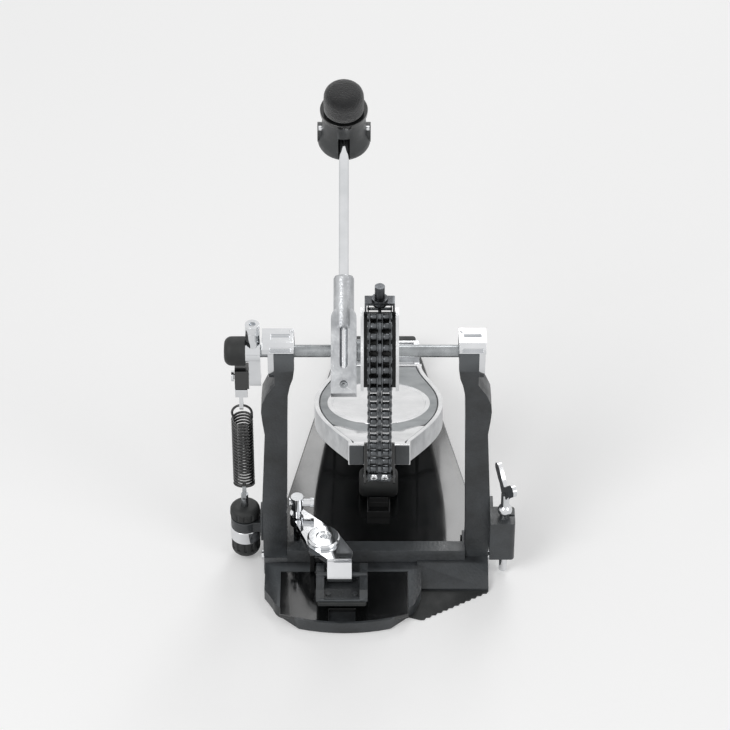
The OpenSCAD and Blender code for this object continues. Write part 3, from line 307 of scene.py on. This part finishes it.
def board_half(s):
    """Half width of the footboard at a distance s from its toe."""
    toe, widest, heel = 25, 54.5, 38
    nose, shoulder, shoulder_end, taper = 10, 132, 138, 124
    if s < nose:
        return toe
    if s < shoulder:
        return toe + (widest - toe) * math.sin(math.pi / 2 * (s - nose) / (shoulder - nose))
    if s < shoulder_end:
        return widest
    swing = min(math.pi, math.pi * (s - shoulder_end) / taper)
    return heel + (widest - heel) * (1 + math.cos(swing)) / 2


def prism(form, outline, low, high, place=Matrix(), edge=0.0, segments=2):
    """A flat outline given thickness, with its edges broken."""
    before = set(form.verts)
    face = form.faces.new([form.verts.new((x, y, low)) for x, y in outline])
    raised = bmesh.ops.extrude_face_region(form, geom=[face])["geom"]
    bmesh.ops.translate(form, vec=(0, 0, high - low),
                        verts=[v for v in raised if isinstance(v, bmesh.types.BMVert)])
    made = [v for v in form.verts if v not in before]
    bmesh.ops.recalc_face_normals(form, faces=list({f for v in made for f in v.link_faces}))
    if edge:
        sharp = [e for e in {e for v in made for e in v.link_edges}
                 if len(e.link_faces) == 2 and e.calc_face_angle() > math.radians(30)]
        bmesh.ops.bevel(form, geom=sharp, offset=edge, offset_type="OFFSET", profile=0.5,
                        segments=segments, affect="EDGES", material=-1)
        made = [v for v in form.verts if v not in before]
    bmesh.ops.transform(form, matrix=place, verts=made)
    return made


field_start, field_end = 42, 250
rim_w = 5.0
front_half, splay = 16.5, 1.05  # the field's front edge is narrow and splays out to the rim
field = bmesh.new()
steps = [field_start + i * (field_end - field_start) / 40 for i in range(41)]
right = [(min(board_half(s) - rim_w, front_half + (s - field_start) * splay), s - board_l)
         for s in steps]
prism(field, right + [(-x, y) for x, y in reversed(right)], deck_z, deck_z + 0.9, to_board,
      edge=0.15)
made = piece("footboard_field", field, blasted, "board")
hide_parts("board_field")

toe_start, toe_end = 5.2, 57
wall = 4.1
toe = bmesh.new()
steps = [toe_start + i * (toe_end - toe_start) / 12 for i in range(13)]
front = [(board_half(s) - wall, s - board_l) for s in steps]
inner = [(30.5, toe_end - board_l), (16.0, field_start - 0.8 - board_l)]
prism(toe, front + inner + [(-x, y) for x, y in reversed(front + inner)], deck_z - 0.05,
      deck_z + 1.2, to_board, edge=0.25)
piece("footboard_toe_face", toe, polished, "board")

oval_y = -138
oval_half_w, oval_half_l = 43.6, 67.4
disc = bmesh.new()
oval = [(oval_half_w * math.cos(turn), oval_y + oval_half_l * math.sin(turn))
        for turn in (math.tau * i / 96 for i in range(96))]
prism(disc, oval, deck_z, rim_z - 0.1, to_board, edge=0.5)
ring = [f for f in disc.faces if (from_board.to_3x3() @ f.normal).z > 0.99
        and f.calc_area() > 1000]
for inwards, raised in [(3.2, 0), (0.5, -0.45), (0.6, 0), (0.5, 0.45)]:
    bmesh.ops.inset_region(disc, faces=ring, thickness=inwards, depth=raised,
                           use_even_offset=True)
made = piece("footboard_oval", disc, polished, "board")
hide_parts("board_oval")

dress(hammer_paint, "toe_cap", edge=0.8)
dress(enamel, "toe_bracket", edge=0.35)


# ---- Axle and cam ----
# A steel axle turns in the bearings and carries a cast cam; its two side plates
# guide the chain, which lies on a soft strip. A clip and stud hold the chain's end.

dress(turned_steel, "axle", "cam_screw", "holder_spacer", edge=0.3)
dress(cast_silver, "cam", edge=0.4)
dress(rubber, "cam_strip", edge=0.2)
# dark steel: oiled, its sharp edges painted bright as a highlight
chain_steel = surface("oiled_steel", "#2b2c2e", "#4c4e51", (0.2, 0.36), drift=8,
                      edge_highlight="#8f9396", relief=[("grain", 0.8, 0.03)], Metallic=0.9)
dress(chain_steel, "chain_anchor", edge=0.3)


# ---- Chain ----
# Two strands of roller chain side by side, made as one: figure-eight plates pressed
# on pins, with bushes and rollers between. The upper links lie on the cam.

def lathe(form, profile, place=Matrix(), steps=40):
    """A turned form: a profile of (radius, height) spun round its axis."""
    before = set(form.verts)
    line = [form.verts.new((r, 0, z)) for r, z in profile]
    edges = [form.edges.new(pair) for pair in zip(line, line[1:])]
    bmesh.ops.spin(form, geom=line + edges, cent=(0, 0, 0), axis=(0, 0, 1), angle=math.tau,
                   steps=steps, use_merge=True, use_normal_flip=False)
    made = [v for v in form.verts if v not in before]
    bmesh.ops.remove_doubles(form, verts=made, dist=0.0005)
    made = [v for v in form.verts if v not in before]
    bmesh.ops.transform(form, matrix=place, verts=made)
    return made


def rod(form, a, b, radius, edge=0.3, steps=32):
    """A round bar from a to b, its ends softened."""
    a, b = Vector(a), Vector(b)
    length = (b - a).length
    place = Matrix.Translation(a) @ (b - a).to_track_quat("Z", "Y").to_matrix().to_4x4()
    lathe(form, [(0, 0), (radius - edge, 0), (radius - edge * 0.3, edge * 0.3), (radius, edge),
                 (radius, length - edge), (radius - edge * 0.3, length - edge * 0.3),
                 (radius - edge, length), (0, length)], place, steps)


# the pins lie on a circle round the axle until the run leaves it for the toe's pin
axle_z = 222
pitch_r = 44.0
link_turn = 11.47899
leave = -3.12612
run_links = 11
chain_low = Vector((0, -38.662, 122.935))
# the two strands, from the middle of the chain outwards
middle_half, inner_in, inner_out, strand_out, outer_x = 1.3, 1.5, 2.45, 8.45, 9.05
inner_t, outer_t = 0.95, 0.9
plate_r, waist_r, roller_r, pin_r, pin_half = 3.8, 2.35, 2.9, 1.3, 9.9


def cam_pin(k):
    """Where pin k lies on the cam, counted from where the run leaves it."""
    turn = math.radians(leave + k * link_turn)
    return Vector((0, -pitch_r * math.cos(turn), axle_z + pitch_r * math.sin(turn)))


def chain_plate(form, p, q, x0, x1):
    """A figure-eight side plate between two pins."""
    along = (q - p).normalized()
    across = Vector((0, -along.z, along.y))
    outline = []
    for centre, way in [(q, along), (p, -along)]:
        side = across if way == along else -across
        for i in range(13):
            turn = math.radians(-112 + i * 224 / 12)
            outline.append(centre + plate_r * (way * math.cos(turn) + side * math.sin(turn)))
        outline.append((p + q) / 2 + side * waist_r)
    upright = Matrix(((0, 0, 1, 0), (1, 0, 0, 0), (0, 1, 0, 0), (0, 0, 0, 1)))
    prism(form, [(v.y, v.z) for v in outline], x0, x1, upright, edge=0.16, segments=1)


def chain_link(form, p, q, inner):
    """One link of the double chain: rollers and inner plates, or pins and outer plates."""
    if inner:
        for x0, x1 in [(inner_in, inner_out), (strand_out - inner_t, strand_out)]:
            chain_plate(form, p, q, x0, x1)
            chain_plate(form, p, q, -x1, -x0)
        near, far = Vector((inner_out + 0.05, 0, 0)), Vector((strand_out - inner_t - 0.05, 0, 0))
        for pin in (p, q):
            for side in (-1, 1):
                rod(form, pin + side * near, pin + side * far, roller_r, edge=0.5, steps=20)
    else:
        chain_plate(form, p, q, -middle_half, middle_half)
        for side in (-1, 1):
            middle = side * outer_x
            chain_plate(form, p, q, middle - outer_t / 2, middle + outer_t / 2)
        end = Vector((pin_half, 0, 0))
        for pin in (p, q):
            rod(form, pin - end, pin + end, pin_r, edge=0.35, steps=16)


def chain_piece(name, body, node, pins, first_inner):
    """A row of links on one body, inner and outer by turns, in place of a CAD node."""
    form = bmesh.new()
    for k, (p, q) in enumerate(zip(pins, pins[1:])):
        chain_link(form, p, q, (k % 2 == 0) == first_inner)
    made = piece(name, form, chain_steel, body)
    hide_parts(node)


chain_piece("chain_on_cam", "drive", "cam_chain", [cam_pin(k) for k in range(4, 9)], True)
for k in (1, 2, 3, 4):
    chain_piece("chain_free_%d" % k, "pair_1" if k < 3 else "pair_2", "chain_link_%d" % k,
                [cam_pin(5 - k), cam_pin(4 - k)], k % 2 == 0)

run = bmesh.new()
top_pin = cam_pin(0)
step = (chain_low - top_pin) / run_links
for k in range(run_links):
    chain_link(run, top_pin + step * k, top_pin + step * (k + 1), k % 2 == 1)
down = step.normalized()
lean = Matrix.Translation(chain_low) @ Matrix.Rotation(math.atan2(down.y, -down.z), 4, "X")
stand = Matrix.Rotation(math.radians(90), 4, "X")
half_w, half_h, half_t = 9.2, 4.2, 2.6  # the solid end block between the last two plates
block = [(-half_w, -half_h), (half_w, -half_h), (half_w, half_h), (-half_w, half_h)]
prism(run, block, -half_t, half_t, lean @ stand, edge=0.5)
end = Vector((12.9, 0, 0))
rod(run, chain_low - end, chain_low + end, 1.5)
made = piece("chain_down_to_toe", run, chain_steel, "run")
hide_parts("chain_run")

# pan head screws with a cross slot, in the chain's end block
slot_l, slot_w = 1.7, 0.38
for side, name in [(-1, "left"), (1, "right")]:
    head = bmesh.new()
    seat = lean @ Matrix.Translation((side * 4.4, -half_t, 0.7)) @ stand
    lathe(head, [(0, 1.25), (1.6, 1.2), (2.7, 0.9), (3.3, 0.35), (3.4, 0), (0, 0)], seat, 28)
    piece("chain_end_screw_" + name, head, chrome, "run")
    cross = bmesh.new()
    for turn in (0, 90):
        bar = [(-slot_l, -slot_w), (slot_l, -slot_w), (slot_l, slot_w), (-slot_l, slot_w)]
        prism(cross, bar, 1.0, 1.32, seat @ Matrix.Rotation(math.radians(turn), 4, "Z"))
    piece("chain_end_slot_" + name, cross, sunk_black, "run")


# ---- Beater holder and shaft ----
# A cast holder clamps on the axle; its chromed tube guides the beater's steel shaft,
# which shows through a window and is locked by a socket screw in the foot.

dress(cast_silver, "beater_holder", edge=0.6)
dress(turned_steel, "holder_screw", edge=0.3)
dress(chrome, "beater_shaft", edge=0.5)


# ---- Beater head ----
# A moulded plastic head tilts on its pin; a black collar holds a disc of pressed felt.
# The felt is matt and open, and the plastic is fine grained.

# moulded plastic: dark grey, satin, its sharp edges painted lighter as a highlight
head_plastic = surface("moulded_plastic", "#2a2c2d", "#383a3b", (0.34, 0.46), drift=20,
                       edge_highlight="#55585a", relief=[("grain", 1.2, 0.04)])
# pressed wool felt: black, matt, with loose fibres that catch the light
felt = surface("pressed_felt", "#0b0b0c", "#17181a", (0.9, 1.0), drift=5,
               relief=[("grain", 1.4, 0.5), ("grain", 0.7, 0.25)], Sheen_Weight=0.5,
               Sheen_Roughness=0.5)
dress(head_plastic, "beater_body", edge=0.6)
dress(enamel, "beater_collar", edge=0.5)
# the shaft leans back from the axle, the head turns on the shaft's end and faces forward
shaft_x, shaft_off, head_s = -28.5, -10.5, 181
rest_lean, head_lean = math.radians(-52), math.radians(-25)
head_turn = (Matrix.Translation((shaft_x, 0, axle_z)) @ Matrix.Rotation(rest_lean, 4, "X")
             @ Matrix.Translation((0, shaft_off, head_s))
             @ Matrix.Rotation(head_lean, 4, "X") @ stand)
pad = bmesh.new()
profile = [(0, 21.6), (14.1, 21.6), (14.1, 24.1), (15.6, 24.1), (16.1, 24.8), (16.2, 30),
           (16.2, 36), (16.0, 39.5), (15.3, 42), (14.1, 43.8), (12.4, 45.0), (9.5, 45.7),
           (5, 46.0), (0, 46.1)]
lathe(pad, profile, head_turn, steps=72)
made = piece("beater_felt_disc", pad, felt, "head", smooth=80)
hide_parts("beater_felt")


# ---- Spring side ----
# A chromed lever on the axle's end stretches the spring through a black swivel
# block; the axle ends in a rubber cap.

dress(chrome, "spring_lever", "lever_screw", "swivel_hook", edge=0.6)
dress(rubber, "end_cap", edge=0.8)
dress(enamel, "swivel_block", edge=0.5)


def sweep(form, path, radius, steps=12):
    """A round wire bent along a line of points, its ends closed."""
    path = [Vector(p) for p in path]
    way = (path[1] - path[0]).normalized()
    ring = bmesh.ops.create_circle(form, segments=steps, radius=radius, cap_ends=False,
                                   matrix=Matrix.Translation(path[0])
                                   @ way.to_track_quat("Z", "Y").to_matrix().to_4x4())["verts"]
    edges = list({e for v in ring for e in v.link_edges})
    bmesh.ops.edgeloop_fill(form, edges=edges)
    for i in range(1, len(path)):
        grown = bmesh.ops.extrude_edge_only(form, edges=edges)["geom"]
        ring = [g for g in grown if isinstance(g, bmesh.types.BMVert)]
        edges = [g for g in grown if isinstance(g, bmesh.types.BMEdge)
                 and g.verts[0] in ring and g.verts[1] in ring]
        bmesh.ops.translate(form, vec=path[i] - path[i - 1], verts=ring)
        ahead = (path[min(i + 1, len(path) - 1)] - path[i - 1]).normalized()
        bmesh.ops.rotate(form, cent=path[i], verts=ring,
                         matrix=way.rotation_difference(ahead).to_matrix())
        way = ahead
    bmesh.ops.edgeloop_fill(form, edges=edges)


# spring wire: black lacquer over hard steel
spring_black = surface("lacquered_wire", "#0e0f0f", "#191a1b", (0.16, 0.3), drift=12,
                       relief=[("grain", 1.5, 0.02)], Coat_Weight=0.4, Coat_Roughness=0.1)
spring_x = -111.4
curl_r = 8.0
coil_top = 151.5
coil_low = 84.0
hook_top = coil_top + 5.5 + curl_r
low_flat = 0.55  # the lower hook is flatter than a circle by this share
hook_low = coil_low - 3.5 - low_flat * curl_r
curls = 21
curl_steps = 20
hook_steps = 25
hook_turn = math.radians(8)
upper_start = math.radians(205)
path = []
for i in range(hook_steps + 1):
    turn = upper_start - i * hook_turn
    path.append((spring_x + curl_r * math.cos(turn), 0,
                 hook_top - curl_r + curl_r * math.sin(turn)))
path += [(spring_x + curl_r, 0, coil_top + rise) for rise in (3, 1.5)]
for i in range(curls * curl_steps + 1):
    turn = math.tau * i / curl_steps
    path.append((spring_x + curl_r * math.cos(turn), curl_r * math.sin(turn),
                 coil_top + (coil_low - coil_top) * i / (curls * curl_steps)))
for i in range(1, hook_steps + 1):
    turn = -i * hook_turn
    path.append((spring_x + curl_r * math.cos(turn), 0,
                 hook_low + low_flat * curl_r * (1 + math.sin(turn))))
wire = bmesh.new()
sweep(wire, path, 1.0)
made = piece("spring_wire", wire, spring_black, "coil", smooth=60)
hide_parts("spring", "spring_hook")
made.parent = None
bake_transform(made)


# ---- Spring adjuster ----
# An eye bolt hangs the spring on a bracket of the left post. A rubber knob above
# sets the pull and one below locks it, with a chromed sleeve between.

dress(turned_steel, "eye_bolt", edge=0.3)
dress(hammer_paint, "spring_bracket", edge=0.8)
dress(chrome, "knob_sleeve", edge=0.6)
dress(rubber, "upper_knob", "lower_knob", edge=0.5)


# ---- Hoop clamp ----
# A chromed rocker tips on ears in the tray: a screw with a T bar lifts its back end,
# and the shoe under its nose grips the drum's hoop with a rubber pad.

dress(chrome, "clamp_lever", "clamp_disc", "t_screw", "t_bar", edge=0.6)
dress(enamel, "clamp_base", edge=0.4)
dress(hammer_paint, "clamp_shoe", edge=0.5)
dress(rubber, "shoe_pad", edge=0.6)


# ---- Drum key ----
# A chromed wing key stands in a sprung clip block on the right post.

dress(hammer_paint, "key_holder", edge=1.0)
dress(chrome, "drum_key", edge=0.6)


# ---- Studio ----
# The pedal stands on white paper under soft lights, seen from the drum's side.

stage = bpy.context.scene
ground = bmesh.new()
bmesh.ops.create_grid(ground, x_segments=1, y_segments=1, size=6)
mesh = bpy.data.meshes.new("paper_floor")
ground.to_mesh(mesh)
ground.free()
floor = bpy.data.objects.new("paper_floor", mesh)
stage.collection.objects.link(floor)
paper = bpy.data.materials.new("white_paper")
paper.use_nodes = True
mesh.materials.append(paper)
shader = paper.node_tree.nodes["Principled BSDF"]
paper_glow = 0.16  # lifts the paper to near white for the eye, and adds no light to it
shader.inputs["Base Color"].default_value = linear("#eeeeee")
shader.inputs["Roughness"].default_value = 0.9
shader.inputs["Specular IOR Level"].default_value = 0.0
ray = add(paper.node_tree, "LightPath", {})
seen = add(paper.node_tree, "Math", {0: ray.outputs["Is Camera Ray"],
                                     1: ray.outputs["Is Glossy Ray"]}, operation="MAXIMUM")
lift = add(paper.node_tree, "Math", {0: seen.outputs[0], 1: paper_glow}, operation="MULTIPLY")
shader.inputs["Emission Color"].default_value = (1, 1, 1, 1)
paper.node_tree.links.new(lift.outputs[0], shader.inputs["Emission Strength"])

sky = bpy.data.worlds.new("studio")
stage.world = sky
sky.use_nodes = True
tree = sky.node_tree
dim = tree.nodes["Background"]
dim.inputs["Color"].default_value = (1, 1, 1, 1)
dim.inputs["Strength"].default_value = 0.45
white = add(tree, "Background", {"Color": (1, 1, 1, 1), "Strength": 1.0})
ray = add(tree, "LightPath", {})
seen = add(tree, "Math", {0: ray.outputs["Is Camera Ray"], 1: ray.outputs["Is Glossy Ray"]},
           operation="MAXIMUM")
seen = add(tree, "Math", {0: seen.outputs[0], 1: ray.outputs["Is Transmission Ray"]},
           operation="MAXIMUM")
mix = add(tree, "MixShader", {0: seen.outputs[0], 1: dim.outputs[0], 2: white.outputs[0]})
tree.links.new(mix.outputs[0], tree.nodes["World Output"].inputs["Surface"])

for name, spot, size, watts in [("soft_key", (-1.3, -1.5, 1.9), 1.3, 24),
                                ("soft_fill", (1.7, -1.2, 1.3), 1.2, 9),
                                ("soft_back", (0.5, 1.9, 1.9), 1.2, 14)]:
    lamp = bpy.data.lights.new(name, "AREA")
    lamp.shape = "DISK"
    lamp.size = size
    lamp.energy = watts
    light = bpy.data.objects.new(name, lamp)
    light.location = spot
    light.rotation_euler = (Vector((0, 0, 0.12)) - Vector(spot)).to_track_quat(
        "-Z", "Y").to_euler()
    stage.collection.objects.link(light)

# the pedal fills a little over half of a view this wide, from this far off
view_off = 2.5
view_w = 0.584
lens = bpy.data.cameras.new("camera")
lens.sensor_width = 36
lens.lens = lens.sensor_width * view_off / view_w
camera = bpy.data.objects.new("camera", lens)
stage.collection.objects.link(camera)
aim = Vector((-0.0116, 0, 0.2074))
height = math.radians(40)
camera.location = aim + view_off * Vector((0, -math.cos(height), math.sin(height)))
camera.rotation_euler = (aim - camera.location).to_track_quat("-Z", "Y").to_euler()
stage.camera = camera
stage.view_settings.view_transform = "Standard"
